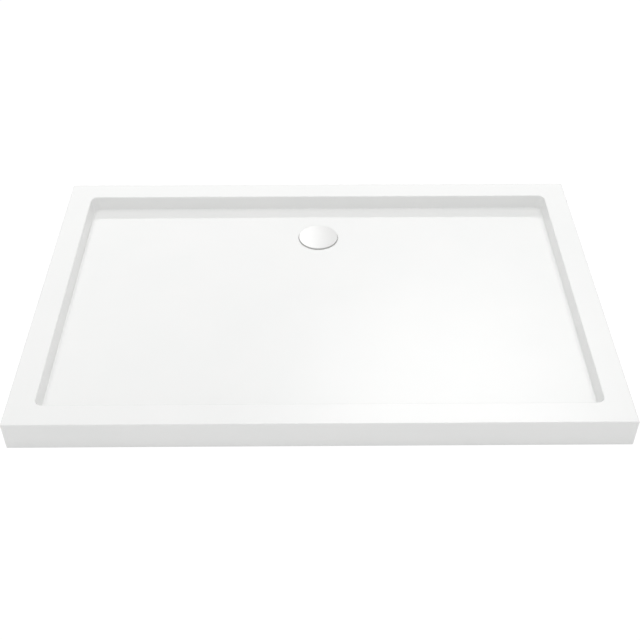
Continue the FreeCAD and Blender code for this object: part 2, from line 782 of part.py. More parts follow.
def foot_socket(foot, across, back):
    profile = [
        ("levels.socket_bore_radius", "levels.socket_bottom"),
        ("dims.socket_flange_radius", "levels.socket_bottom"),
        ("dims.socket_flange_radius", "levels.board_bottom"),
        ("levels.sleeve_radius", "levels.board_bottom"),
        ("levels.sleeve_radius", "levels.board_top"),
        ("levels.socket_bore_radius", "levels.board_top"),
    ]
    body = turned_body(f"socket_blank_{foot}", profile)
    holes = []
    for number, (aside, ahead) in enumerate(screw_places()):
        sink = turned_body(
            f"socket_sink_{foot}_{number}",
            [
                ("0", "levels.socket_bottom"),
                ("levels.screw_sink_radius", "levels.socket_bottom"),
                ("levels.screw_hole_radius", "levels.board_bottom"),
                ("0", "levels.board_bottom"),
            ],
        )
        place(sink, aside, ahead)
        holes.append(sink)
    socket = cut(f"socket_drilled_{foot}", body, joined(f"socket_sinks_{foot}", holes))
    place(socket, across, back)
    keep(socket, f"foot_socket_{foot}")


def socket_screws():
    """All the countersunk wood screws that hold the sockets to the board, as one group."""
    screws = []
    point = "levels.screw_tip - 2 * dims.screw_radius"
    profile = [
        ("0", "levels.socket_bottom"),
        ("dims.screw_head_radius", "levels.socket_bottom"),
        ("dims.screw_radius", "levels.board_bottom"),
        ("dims.screw_radius", point),
        ("0", "levels.screw_tip"),
    ]
    for foot, (across, back) in FEET.items():
        for number, (aside, ahead) in enumerate(screw_places()):
            screw = turned_body(f"screw_{foot}_{number}", profile)
            place(screw, f"{across} + {aside}", f"{back} + {ahead}")
            screws.append(screw)
    group = doc.addObject("Part::Compound", "socket_screws")
    group.Links = screws
    doc.recompute()
    keep(group, "socket_screws")


def feet():
    for foot, (across, back) in FEET.items():
        foot_pad(foot, across, back)
        foot_stem(foot, across, back)
        foot_socket(foot, across, back)
    socket_screws()


def check():
    """Stops if any object failed or any sub-part is empty or invalid."""
    for item in doc.Objects:
        if "Invalid" in item.State or "Error" in item.State:
            raise RuntimeError(f"{item.Name} failed: {item.State}")
    for item in subparts:
        if item.Shape.isNull() or not item.Shape.isValid() or not item.Shape.Solids:
            raise RuntimeError(f"{item.Label} has no valid solid")


def export():
    os.makedirs("parts", exist_ok=True)
    for item in subparts:
        item.Shape.exportStep(f"parts/{item.Label}.step")
        box = item.Shape.BoundBox
        print(
            f"{item.Label}: {len(item.Shape.Solids)} solid(s), {item.Shape.Volume:.0f} mm3, "
            f"z {box.ZMin:.2f} to {box.ZMax:.2f}"
        )


laminates()
floor_bed()
base_board()
rim_battens()
waste()
strainer()
drain_cover()
feet()
doc.recompute()
check()
export()
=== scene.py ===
import math

import bmesh
import bpy
import numpy as np
from mathutils import Euler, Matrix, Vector


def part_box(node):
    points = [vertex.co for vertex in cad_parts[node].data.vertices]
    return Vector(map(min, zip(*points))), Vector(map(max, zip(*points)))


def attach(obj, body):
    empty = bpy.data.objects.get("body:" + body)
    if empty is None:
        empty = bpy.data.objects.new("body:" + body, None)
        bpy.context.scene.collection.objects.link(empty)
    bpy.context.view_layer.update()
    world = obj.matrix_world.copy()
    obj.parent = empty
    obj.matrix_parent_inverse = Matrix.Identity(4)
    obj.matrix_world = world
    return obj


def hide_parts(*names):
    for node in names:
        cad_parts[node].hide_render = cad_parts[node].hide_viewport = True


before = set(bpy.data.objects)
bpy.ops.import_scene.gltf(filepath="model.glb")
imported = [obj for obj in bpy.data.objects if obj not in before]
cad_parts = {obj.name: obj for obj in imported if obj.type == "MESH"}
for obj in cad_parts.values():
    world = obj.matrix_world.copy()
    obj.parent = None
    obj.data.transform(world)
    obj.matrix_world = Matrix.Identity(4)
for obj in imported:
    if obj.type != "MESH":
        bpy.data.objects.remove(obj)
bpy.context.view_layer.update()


# Acrylic shell: one 4 mm sheet of sanitary acrylic, vacuum-formed over a mould. The skirts are
# upright, the basin's walls lean out by 10 degrees, the edges are crisp, and the floor falls 2 mm
# from front to back and a little more into the waste's round seat.

MM = 0.001
sheet = 4.0
tray_half = (600.0, 400.0)
tray_height = 62.0
skirt_bend = 2.5
rim_round = 2.0
least_round = 0.6
opening_half = (547.0, 347.0)
opening_bend = 15.0
opening_round = 2.5
wall_lean = 10.0
floor_half = (541.54, 341.54)
floor_height = 31.03
floor_tilt = math.tan(math.radians(0.17))
foot_round = 3.0
fall_half = (521.54, 321.54)
waste_centre = np.array((0.0, 225.0))
seat_radius = 46.2
seat_round = 0.4
seat_height = 29.2
seat_depth = 3.0
waste_hole = 30.5

# How finely the skin is divided: parts of a corner, points of a round, degrees round the waste
# between the points of a side, and how far towards the waste each ring of the floor stands.
corner_parts = 8
arc_points = 9
opening_points = 7
side_step = 3
floor_steps = np.array((4, 12, 24, 38, 52, 65, 76, 85, 92, 97, 100)) / 100
# Past this many degrees an edge stays sharp.
sharp_past = 35


def colour(code):
    """An sRGB hex colour as linear light."""
    parts = [int(code[i : i + 2], 16) / 255 for i in (1, 3, 5)]
    linear = [p / 12.92 if p <= 0.04045 else ((p + 0.055) / 1.055) ** 2.4 for p in parts]
    return (*linear, 1.0)


def add(tree, kind, settings=None, sockets=None):
    """Adds a node; a socket takes a plain value or another node's output."""
    node = tree.nodes.new(kind)
    for name, setting in (settings or {}).items():
        setattr(node, name, setting)
    for key, given in (sockets or {}).items():
        if isinstance(given, bpy.types.NodeSocket):
            tree.links.new(given, node.inputs[key])
        else:
            node.inputs[key].default_value = given
    return node


def every(size):
    """The scale at which a pattern repeats each so many millimetres."""
    return 1000 / size


def new_finish(name):
    """An empty node material."""
    made = bpy.data.materials.new(name)
    made.use_nodes = True
    made.node_tree.nodes.clear()
    return made


def side_stops():
    """Where the points of each straight side stand, evenly spread as seen from the waste."""
    half_x, half_y = fall_half
    near_x, near_y = half_x - opening_bend, half_y - opening_bend
    sides = (
        ((near_x, half_y), (-near_x, half_y)),
        ((-half_x, near_y), (-half_x, -near_y)),
        ((-near_x, -half_y), (near_x, -half_y)),
        ((half_x, -near_y), (half_x, near_y)),
    )
    found = []
    for start, end in sides:
        out, run = np.array(start) - waste_centre, np.array(end) - np.array(start)
        first = math.atan2(out[1], out[0])
        last = math.atan2(*(out + run)[::-1])
        turn = (last - first) % (2 * math.pi)
        count = math.ceil(turn / math.radians(side_step))
        stops = []
        for step in range(1, count):
            angle = first + turn * step / count
            ray = (math.cos(angle), math.sin(angle))
            across = run[0] * ray[1] - run[1] * ray[0]
            stops.append(-(out[0] * ray[1] - out[1] * ray[0]) / across)
        found.append(stops)
    return found


stops = side_stops()


def rounded_ring(half_x, half_y, bend, height, share=0.0):
    """A level rounded rectangle; share tilts it with the floor."""
    signs = ((1, 1), (-1, 1), (-1, -1), (1, -1))
    corners = []
    for turn, (sx, sy) in enumerate(signs):
        angles = np.linspace(turn, turn + 1, corner_parts + 1) * math.pi / 2
        middle = np.array((sx * (half_x - bend), sy * (half_y - bend)))
        corners.append(middle + bend * np.column_stack((np.cos(angles), np.sin(angles))))
    rows = []
    for turn, corner in enumerate(corners):
        start, end = corner[-1], corners[(turn + 1) % 4][0]
        rows.append(corner)
        rows.append(start + np.outer(stops[turn], end - start))
    plan = np.vstack(rows)
    return np.column_stack((plan, height - share * floor_tilt * plan[:, 1]))


def waste_ring(radius, height, like):
    """A circle round the waste whose points face those of another ring."""
    out = like[:, :2] - waste_centre
    out /= np.linalg.norm(out, axis=1)[:, None]
    plan = waste_centre + radius * out
    return np.column_stack((plan, np.full(len(plan), height)))


def tray_skin(depth):
    """Rings from the skirt's foot to the waste hole, on a face this deep below the visible one."""
    rings = []
    (outer_x, outer_y), (open_x, open_y), (low_x, low_y) = tray_half, opening_half, floor_half
    top, low = tray_height - depth, floor_height - depth
    # A round between a level face and the leaning wall reaches this share of its radius along both.
    reach = math.tan(math.radians((90 - wall_lean) / 2))

    # The skirt, and the rim's outer edge.
    round_edge = max(rim_round - depth, least_round)
    bend = max(skirt_bend - depth, 2 * least_round)
    rings.append(rounded_ring(outer_x - depth, outer_y - depth, bend, 0))
    for angle in np.radians(np.linspace(0, 90, arc_points)):
        back = depth + round_edge * (1 - math.cos(angle))
        height = top - round_edge * (1 - math.sin(angle))
        corner = bend - round_edge * (1 - math.cos(angle))
        rings.append(rounded_ring(outer_x - back, outer_y - back, corner, height))

    # The rim's inner edge.
    round_edge = max(opening_round - depth, 0)
    start = depth + round_edge * reach
    angles = np.linspace(90, 180 - wall_lean, opening_points) if round_edge else [90]
    for angle in np.radians(angles):
        out = start + round_edge * math.cos(angle)
        height = top - round_edge * (1 - math.sin(angle))
        rings.append(rounded_ring(open_x + out, open_y + out, opening_bend + out, height))

    # The foot of the walls.
    round_edge = foot_round + depth
    start = depth - round_edge * reach
    for angle in np.radians(np.linspace(-wall_lean, -90, arc_points)):
        out = start + round_edge * math.cos(angle)
        height = low + round_edge * (1 + math.sin(angle))
        corner = opening_bend + out
        rings.append(rounded_ring(low_x + out, low_y + out, corner, height, 1))

    # The floor, which falls more steeply the nearer it comes to the waste.
    edge = rounded_ring(*fall_half, opening_bend, low, 1)
    rings.append(edge)
    round_edge = 0 if depth else seat_round
    radius = seat_radius + depth + round_edge
    mouth = waste_ring(radius, seat_height - depth, edge)
    for share in floor_steps:
        ring = edge + (mouth - edge) * share
        plane = low - floor_tilt * ring[:, 1]
        fall = low - floor_tilt * mouth[:, 1] - mouth[:, 2]
        ring[:, 2] = plane - fall * share**2
        rings.append(ring)

    # The waste's seat, whose visible side has small rounds.
    wall = seat_radius + depth
    seat_low = seat_height - depth - seat_depth
    if round_edge:
        for angle in np.radians((60, 30, 0)):
            height = seat_height - round_edge * (1 - math.sin(angle))
            rings.append(waste_ring(wall + round_edge * (1 - math.cos(angle)), height, edge))
        for angle in np.radians((0, 30, 60, 90)):
            height = seat_low + round_edge * (1 - math.sin(angle))
            rings.append(waste_ring(wall - round_edge * (1 - math.cos(angle)), height, edge))
    else:
        rings.append(waste_ring(wall, seat_low, edge))
    rings.append(waste_ring(waste_hole, seat_low, edge))
    return rings


def finished_mesh(name, made):
    """The mesh of a closed skin, with its faces turned outwards."""
    bmesh.ops.recalc_face_normals(made, faces=made.faces)
    mesh = bpy.data.meshes.new(name)
    made.to_mesh(mesh)
    made.free()
    return mesh


def closed_mesh(name, rings):
    """A closed skin through rings with equal numbers of points, the last joined to the first."""
    count = len(rings[0])
    made = bmesh.new()
    rows = [[made.verts.new(Vector(point) * MM) for point in ring] for ring in rings]
    for row, following in zip(rows, rows[1:] + rows[:1]):
        for i in range(count):
            j = (i + 1) % count
            made.faces.new((row[i], row[j], following[j], following[i]))
    return finished_mesh(name, made)


def new_piece(name, mesh, material):
    """An object with smooth faces, sharp edges past an angle, and flats that shade flat."""
    mesh.materials.append(material)
    mesh.polygons.foreach_set("use_smooth", [True] * len(mesh.polygons))
    mesh.set_sharp_from_angle(angle=math.radians(sharp_past))
    made = bpy.data.objects.new(name, mesh)
    bpy.context.scene.collection.objects.link(made)
    weighted = made.modifiers.new("flats shade flat", "WEIGHTED_NORMAL")
    weighted.keep_sharp = True
    return made


# White sanitary acrylic, formed warm against a polished mould: a deep wet gloss, a faint orange
# peel from the stretched sheet, and a little dulling where hands and cloths have wiped it.
acrylic = new_finish("white sanitary acrylic, vacuum-formed")
tree = acrylic.node_tree
place = add(tree, "ShaderNodeTexCoord").outputs["Object"]
clouds = add(tree, "ShaderNodeTexNoise", None, {"Vector": place, "Scale": every(125), "Detail": 2})
wiped = add(tree, "ShaderNodeTexNoise", None, {"Vector": place, "Scale": every(35.7), "Detail": 5})
peel = add(tree, "ShaderNodeTexNoise", None, {"Vector": place, "Scale": every(9), "Detail": 1})
tone = add(
    tree,
    "ShaderNodeMix",
    {"data_type": "RGBA"},
    {0: clouds.outputs["Fac"], 6: colour("#eff0ef"), 7: colour("#f3f3f2")},
)
gloss = add(
    tree,
    "ShaderNodeMapRange",
    None,
    {"Value": wiped.outputs["Fac"], "From Min": 0.3, "From Max": 0.7, "To Min": 0.05, "To Max": 0.11},
)
bump = add(
    tree,
    "ShaderNodeBump",
    None,
    {"Strength": 1.0, "Distance": 0.004 * MM, "Height": peel.outputs["Fac"]},
)
shader = add(
    tree,
    "ShaderNodeBsdfPrincipled",
    None,
    {
        "Base Color": tone.outputs[2],
        "Roughness": gloss.outputs[0],
        "IOR": 1.49,
        "Normal": bump.outputs[0],
    },
)
add(tree, "ShaderNodeOutputMaterial", None, {"Surface": shader.outputs[0]})

visible = tray_skin(0)
underside = tray_skin(sheet)
shell = new_piece("acrylic_shell_formed", closed_mesh("acrylic_shell", visible + underside[::-1]), acrylic)
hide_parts("acrylic_shell")
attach(shell, "tray")


# Fibreglass backing: chopped strand mat laid up by hand in polyester resin on the back of the
# acrylic, 3 mm thick and trimmed 2 mm above the ground.


def dress(material, *nodes):
    """Gives CAD nodes a finish."""
    for name in nodes:
        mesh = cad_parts[name].data
        if not mesh.materials:
            mesh.materials.append(material)
        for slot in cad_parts[name].material_slots:
            slot.material = material


# Chopped strand mat in resin: straw-green, with pale strands about 40 mm long that lie every way
# and stand a little proud, and a gloss that comes and goes with the pools of resin.
mat = new_finish("chopped strand mat in polyester resin, laid up by hand")
tree = mat.node_tree
place = add(tree, "ShaderNodeTexCoord").outputs["Object"]
strand_size = (every(40), every(1.6), every(6))
strands = None
for turn in (10, 55, 95, 150):
    spun = add(
        tree,
        "ShaderNodeMapping",
        None,
        {"Vector": place, "Rotation": (0, 0, math.radians(turn)), "Scale": strand_size},
    )
    lines = add(tree, "ShaderNodeTexNoise", None, {"Vector": spun.outputs[0], "Scale": 1, "Detail": 1})
    strand = add(
        tree,
        "ShaderNodeMapRange",
        None,
        {"Value": lines.outputs["Fac"], "From Min": 0.55, "From Max": 0.68},
    ).outputs[0]
    if strands is None:
        strands = strand
    else:
        strands = add(
            tree, "ShaderNodeMath", {"operation": "MAXIMUM"}, {0: strands, 1: strand}
        ).outputs[0]
pools = add(tree, "ShaderNodeTexNoise", None, {"Vector": place, "Scale": every(71.4), "Detail": 3})
resin = add(
    tree,
    "ShaderNodeMix",
    {"data_type": "RGBA"},
    {0: pools.outputs["Fac"], 6: colour("#b9b694"), 7: colour("#cfcdb2")},
)
tone = add(
    tree,
    "ShaderNodeMix",
    {"data_type": "RGBA"},
    {0: strands, 6: resin.outputs[2], 7: colour("#e3e2d2")},
)
gloss = add(
    tree,
    "ShaderNodeMapRange",
    None,
    {"Value": pools.outputs["Fac"], "From Min": 0.35, "From Max": 0.65, "To Min": 0.25, "To Max": 0.6},
)
bump = add(tree, "ShaderNodeBump", None, {"Strength": 0.8, "Distance": 0.3 * MM, "Height": strands})
shader = add(
    tree,
    "ShaderNodeBsdfPrincipled",
    None,
    {
        "Base Color": tone.outputs[2],
        "Roughness": gloss.outputs[0],
        "IOR": 1.55,
        "Normal": bump.outputs[0],
    },
)
add(tree, "ShaderNodeOutputMaterial", None, {"Surface": shader.outputs[0]})
dress(mat, "fibreglass_backing")


# Rim battens: four planed spruce strips, 34 x 18 mm, bonded under the rim to stiffen it. The long
# pair runs between the end skirts and the short pair fits between the long ones.


def planed_softwood(name, along):
    """Planed spruce: honey bands of late wood 8 mm apart, running with the grain."""
    # The bands wander 17 mm across over most of a metre, and pores 0.5 mm wide make it silky.
    # At a scale of 1, the rings of the wave texture are 0.314 m apart.
    ring_gap = 8 * MM
    wave_gap = 0.314
    made = new_finish(name)
    tree = made.node_tree
    place = add(tree, "ShaderNodeTexCoord").outputs["Object"]
    drawn_out = 1 / 50
    stretch = (drawn_out, 1, 1) if along == "X" else (1, drawn_out, 1)
    grain = add(tree, "ShaderNodeMapping", None, {"Vector": place, "Scale": stretch})
    drift = add(
        tree, "ShaderNodeTexNoise", None, {"Vector": grain.outputs[0], "Scale": every(16.7), "Detail": 2}
    )
    bent = add(
        tree,
        "ShaderNodeVectorMath",
        {"operation": "MULTIPLY_ADD"},
        {0: drift.outputs["Color"], 1: (0.012, 0.012, 0.012), 2: grain.outputs[0]},
    )
    bands = add(
        tree,
        "ShaderNodeTexWave",
        {"wave_type": "RINGS", "rings_direction": along, "wave_profile": "SAW"},
        {"Vector": bent.outputs[0], "Scale": wave_gap / ring_gap, "Distortion": 1.5, "Detail": 2},
    )
    pores = add(
        tree,
        "ShaderNodeTexNoise",
        None,
        {"Vector": grain.outputs[0], "Scale": every(0.5), "Detail": 2},
    )
    tone = add(
        tree,
        "ShaderNodeMix",
        {"data_type": "RGBA"},
        {0: bands.outputs["Fac"], 6: colour("#dcc193"), 7: colour("#b98d57")},
    )
    fleck = add(
        tree,
        "ShaderNodeMapRange",
        None,
        {"Value": pores.outputs["Fac"], "From Min": 0.3, "From Max": 0.7, "To Min": 0.82, "To Max": 1.05},
    )
    flecked = add(
        tree,
        "ShaderNodeVectorMath",
        {"operation": "SCALE"},
        {0: tone.outputs[2], "Scale": fleck.outputs[0]},
    )
    bump = add(
        tree,
        "ShaderNodeBump",
        None,
        {"Strength": 0.5, "Distance": 0.1 * MM, "Height": pores.outputs["Fac"]},
    )
    shader = add(
        tree,
        "ShaderNodeBsdfPrincipled",
        None,
        {
            "Base Color": flecked.outputs[0],
            "Roughness": 0.62,
            "IOR": 1.5,
            "Normal": bump.outputs[0],
        },
    )
    add(tree, "ShaderNodeOutputMaterial", None, {"Surface": shader.outputs[0]})
    return made


dress(planed_softwood("planed spruce, grain along the tray", "X"), "rim_batten_front", "rim_batten_back")
dress(planed_softwood("planed spruce, grain across the tray", "Y"), "rim_batten_left", "rim_batten_right")


# Floor bed: a stiff resin filler trowelled onto the laminate, which levels the sloping floor
# onto the flat board.

# Mineral-filled resin, scraped level: sandy grit of 1 to 2 mm in a dull cream paste with pinholes.
filler = new_finish("mineral-filled resin, scraped level")
tree = filler.node_tree
place = add(tree, "ShaderNodeTexCoord").outputs["Object"]
grit = add(tree, "ShaderNodeTexVoronoi", None, {"Vector": place, "Scale": every(1.8)})
scrape = add(tree, "ShaderNodeTexNoise", None, {"Vector": place, "Scale": every(22.2), "Detail": 6})
paste = add(
    tree,
    "ShaderNodeMix",
    {"data_type": "RGBA"},
    {0: scrape.outputs["Fac"], 6: colour("#cfc3a0"), 7: colour("#e2d9bd")},
)
tone = add(
    tree,
    "ShaderNodeMix",
    {"data_type": "RGBA", "blend_type": "MULTIPLY"},
    {0: 0.25, 6: paste.outputs[2], 7: grit.outputs["Color"]},
)
pits = add(
    tree,
    "ShaderNodeMapRange",
    None,
    {"Value": grit.outputs["Distance"], "From Min": 0.05, "From Max": 0.35},
)
bump = add(tree, "ShaderNodeBump", None, {"Strength": 0.7, "Distance": 0.3 * MM, "Height": pits.outputs[0]})
shader = add(
    tree,
    "ShaderNodeBsdfPrincipled",
    None,
    {"Base Color": tone.outputs[2], "Roughness": 0.85, "IOR": 1.5, "Normal": bump.outputs[0]},
)
add(tree, "ShaderNodeOutputMaterial", None, {"Surface": shader.outputs[0]})
dress(filler, "floor_bed")


# Base board: a flat 9 mm chipboard panel bonded to the bed, cut away round the waste and bored
# for the sockets of the feet.

# Raw chipboard: pressed wood flakes 3 to 8 mm long, straw to brown, with a dull dusty face.
chipboard = new_finish("raw chipboard, sanded")
tree = chipboard.node_tree
place = add(tree, "ShaderNodeTexCoord").outputs["Object"]
wander = add(tree, "ShaderNodeTexNoise", None, {"Vector": place, "Scale": every(16.7), "Detail": 2})
strewn = add(
    tree,
    "ShaderNodeVectorMath",
    {"operation": "MULTIPLY_ADD"},
    {0: wander.outputs["Color"], 1: (0.012, 0.012, 0.004), 2: place},
)
flake_size = (every(6), every(2.5), every(1.2))
flat = add(tree, "ShaderNodeMapping", None, {"Vector": strewn.outputs[0], "Scale": flake_size})
flakes = add(tree, "ShaderNodeTexVoronoi", None, {"Vector": flat.outputs[0], "Scale": 1})
dust = add(tree, "ShaderNodeTexNoise", None, {"Vector": place, "Scale": every(0.8), "Detail": 2})
pick = add(tree, "ShaderNodeSeparateColor", None, {"Color": flakes.outputs["Color"]})
tone = add(
    tree,
    "ShaderNodeMix",
    {"data_type": "RGBA"},
    {0: pick.outputs[0], 6: colour("#a98253"), 7: colour("#dcc396")},
)
fleck = add(
    tree,
    "ShaderNodeMapRange",
    None,
    {"Value": dust.outputs["Fac"], "From Min": 0.3, "From Max": 0.7, "To Min": 0.85, "To Max": 1.05},
)
dusted = add(
    tree,
    "ShaderNodeVectorMath",
    {"operation": "SCALE"},
    {0: tone.outputs[2], "Scale": fleck.outputs[0]},
)
bump = add(
    tree,
    "ShaderNodeBump",
    None,
    {"Strength": 0.6, "Distance": 0.15 * MM, "Height": flakes.outputs["Distance"]},
)
shader = add(
    tree,
    "ShaderNodeBsdfPrincipled",
    None,
    {"Base Color": dusted.outputs[0], "Roughness": 0.8, "IOR": 1.5, "Normal": bump.outputs[0]},
)
add(tree, "ShaderNodeOutputMaterial", None, {"Surface": shader.outputs[0]})
dress(chipboard, "base_board")


# Waste: an injection-moulded body whose flange lies in the floor's seat, clamped from below by
# an eight-sided nut through a slip washer and two rubber rings.


def moulded_plastic(name, dark, pale, smooth, rough, grain):
    """A moulded plastic: slight flow clouds in its tone and sheen, and the mould's grain in mm."""
    made = new_finish(name)
    tree = made.node_tree
    place = add(tree, "ShaderNodeTexCoord").outputs["Object"]
    flow = add(tree, "ShaderNodeTexNoise", None, {"Vector": place, "Scale": every(11.1), "Detail": 3})
    spark = add(
        tree, "ShaderNodeTexNoise", None, {"Vector": place, "Scale": every(grain), "Detail": 2}
    )
    tone = add(
        tree,
        "ShaderNodeMix",
        {"data_type": "RGBA"},
        {0: flow.outputs["Fac"], 6: colour(dark), 7: colour(pale)},
    )
    gloss = add(
        tree,
        "ShaderNodeMapRange",
        None,
        {"Value": flow.outputs["Fac"], "From Min": 0.3, "From Max": 0.7, "To Min": smooth, "To Max": rough},
    )
    bump = add(
        tree,
        "ShaderNodeBump",
        None,
        {"Strength": 0.4, "Distance": 0.03 * MM, "Height": spark.outputs["Fac"]},
    )
    shader = add(
        tree,
        "ShaderNodeBsdfPrincipled",
        None,
        {
            "Base Color": tone.outputs[2],
            "Roughness": gloss.outputs[0],
            "IOR": 1.49,
            "Normal": bump.outputs[0],
        },
    )
    add(tree, "ShaderNodeOutputMaterial", None, {"Surface": shader.outputs[0]})
    return made


# Polypropylene is a waxy white with a soft sheen, and the nut's is coarser from its deeper mould.
flange_white = moulded_plastic("white polypropylene, moulded", "#dcdcd6", "#e6e6e1", 0.28, 0.4, 0.7)
dress(flange_white, "waste_flange")
nut_white = moulded_plastic("white polypropylene nut, moulded", "#d8d8d2", "#e3e3dd", 0.34, 0.5, 0.9)
dress(nut_white, "back_nut")

# Natural polythene is a milky grey-white, duller than either.
washer_grey = moulded_plastic("natural polythene washer, stamped", "#cfcfc6", "#dadad3", 0.4, 0.55, 0.8)
dress(washer_grey, "slip_washer")

# Rubber is nearly black and dull.
rubber = moulded_plastic("black rubber, moulded", "#161616", "#232322", 0.65, 0.85, 0.5)
dress(rubber, "upper_seal", "lower_seal")


# Strainer: a slotted disc that drops onto the ledge inside the waste, with a bush in its middle
# that keeps the cover central.

# Grey ABS from a smooth mould has an even tone and a clean sheen.
strainer_grey = moulded_plastic("grey ABS, moulded", "#9a9c9e", "#a6a8aa", 0.25, 0.35, 0.7)
dress(strainer_grey, "strainer")


# Drain cover: a thin domed disc, moulded in white ABS, that lifts off by hand. It stands on three
# pegs inside the waste's seat, so that water runs in all round it, and a spigot finds the
# strainer's bush. Its face stands a hair proud of the rounded edge.

cover_crown = 34.8
cover_dome = 390.7
face_radius = 44.4
face_even = 43.8
face_proud = 0.03
# The face's own small round: how far each point is outside its radius and below the dome.
face_edge = ((-0.25, 0.005), (-0.07, 0.03), (0, 0.1), (0, 0.3))
face_rings = 12
face_steps = 120


def turned_face(name):
    """A closed disc turned from the cover's dome, with a small rounded edge."""
    outline = [(radius, 0) for radius in np.linspace(0, face_even, face_rings)]
    outline += [(face_radius + out, sink) for out, sink in face_edge]
    turns = np.linspace(0, 2 * math.pi, face_steps, endpoint=False)
    made = bmesh.new()
    rings = []
    for radius, sink in outline:
        drop = cover_dome - math.sqrt(cover_dome**2 - radius**2)
        height = cover_crown + face_proud - drop - sink
        ring = []
        for turn in turns if radius else (0,):
            plan = waste_centre + radius * np.array((math.cos(turn), math.sin(turn)))
            ring.append(made.verts.new(Vector((*plan, height)) * MM))
        rings.append(ring)
    crown = rings.pop(0)[0]
    foot = made.verts.new(Vector((*waste_centre, height)) * MM)
    for i in range(face_steps):
        j = (i + 1) % face_steps
        made.faces.new((crown, rings[0][i], rings[0][j]))
        for ring, following in zip(rings, rings[1:]):
            made.faces.new((ring[i], following[i], following[j], ring[j]))
        made.faces.new((rings[-1][i], foot, rings[-1][j]))
    return finished_mesh(name, made)


# Satin ABS, moulded: a little less white than the tray and much softer in gloss, so that it shows
# its dome by a slow change of tone where the tray mirrors the room.
satin = moulded_plastic("white ABS, satin mould", "#e2e2e1", "#e6e6e5", 0.5, 0.6, 1.5)
satin.node_tree.nodes["Principled BSDF"].inputs["Specular IOR Level"].default_value = 0.25
dress(satin, "drain_cover")
face = new_piece("drain_cover_face", turned_face("drain_cover_face"), satin)
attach(face, "cover")


# Levelling feet: six nylon sockets screwed under the board, each with a steel stem that turns in
# it and a moulded pad on the stem's head.

feet = ("front_left", "front_middle", "front_right", "back_left", "back_right", "centre")

# Glass-filled nylon is a cold black with a tight grain, and polythene a softer, duller one.
nylon = moulded_plastic("black glass-filled nylon, moulded", "#17181a", "#25262a", 0.38, 0.55, 0.4)
dress(nylon, *[f"foot_socket_{foot}" for foot in feet])
pad_plastic = moulded_plastic("black polythene, moulded", "#1b1c1e", "#2a2b2e", 0.45, 0.6, 0.6)
dress(pad_plastic, *[f"foot_pad_{foot}" for foot in feet])


def zinc_plate(name, pitch, coordinates, height):
    """Zinc-plated steel with a cut thread: grey and faintly blue, with grooves at its pitch."""
    # The thread is a helix in the box that holds one stem, or level ridges where the node
    # holds many screws; height is the box's in mm.
    made = new_finish(name)
    tree = made.node_tree
    place = add(tree, "ShaderNodeTexCoord").outputs[coordinates]
    split = add(tree, "ShaderNodeSeparateXYZ", None, {"Vector": place})
    rise = add(
        tree,
        "ShaderNodeMath",
        {"operation": "MULTIPLY"},
        {0: split.outputs["Z"], 1: height / pitch},
    ).outputs[0]
    if coordinates == "Generated":
        middle = add(
            tree,
            "ShaderNodeVectorMath",
            {"operation": "SUBTRACT"},
            {0: place, 1: (0.5, 0.5, 0)},
        )
        flat = add(tree, "ShaderNodeSeparateXYZ", None, {"Vector": middle.outputs[0]})
        angle = add(
            tree,
            "ShaderNodeMath",
            {"operation": "ARCTAN2"},
            {0: flat.outputs["Y"], 1: flat.outputs["X"]},
        )
        part = add(
            tree,
            "ShaderNodeMath",
            {"operation": "DIVIDE"},
            {0: angle.outputs[0], 1: 2 * math.pi},
        )
        rise = add(
            tree, "ShaderNodeMath", {"operation": "SUBTRACT"}, {0: rise, 1: part.outputs[0]}
        ).outputs[0]
    ridge = add(tree, "ShaderNodeMath", {"operation": "PINGPONG"}, {0: rise, 1: 0.5})
    spangle = add(
        tree,
        "ShaderNodeTexNoise",
        None,
        {"Vector": add(tree, "ShaderNodeTexCoord").outputs["Object"], "Scale": every(1.2), "Detail": 3},
    )
    tone = add(
        tree,
        "ShaderNodeMix",
        {"data_type": "RGBA"},
        {0: spangle.outputs["Fac"], 6: colour("#a9adb3"), 7: colour("#cdd0d3")},
    )
    gloss = add(
        tree,
        "ShaderNodeMapRange",
        None,
        {"Value": spangle.outputs["Fac"], "From Min": 0.3, "From Max": 0.7, "To Min": 0.22, "To Max": 0.38},
    )
    bump = add(
        tree,
        "ShaderNodeBump",
        None,
        {"Strength": 1.0, "Distance": 0.9 * MM, "Height": ridge.outputs[0]},
    )
    shader = add(
        tree,
        "ShaderNodeBsdfPrincipled",
        None,
        {
            "Base Color": tone.outputs[2],
            "Metallic": 1.0,
            "Roughness": gloss.outputs[0],
            "Normal": bump.outputs[0],
        },
    )
    add(tree, "ShaderNodeOutputMaterial", None, {"Surface": shader.outputs[0]})
    return made


stem_low, stem_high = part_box("foot_stem_centre")
stem_steel = zinc_plate(
    "zinc-plated steel, M10 thread",
    pitch=1.5,
    coordinates="Generated",
    height=(stem_high[2] - stem_low[2]) / MM,
)
dress(stem_steel, *[f"foot_stem_{foot}" for foot in feet])
screw_steel = zinc_plate(
    "zinc-plated steel, wood screws", pitch=1.4, coordinates="Object", height=1 / MM
)
dress(screw_steel, "socket_screws")


# Floor: a plain white sweep that shows as white and still takes the tray's soft shadow.


def flat_sheet(name, width, depth):
    """A flat sheet round the origin."""
    corners = [(x * width / 2, y * depth / 2, 0) for x, y in ((-1, -1), (1, -1), (1, 1), (-1, 1))]
    mesh = bpy.data.meshes.new(name)
    mesh.from_pydata(corners, [], [(0, 1, 2, 3)])
    made = bpy.data.objects.new(name, mesh)
    bpy.context.scene.collection.objects.link(made)
    return made


ground = flat_sheet("ground", width=18.0, depth=18.0)


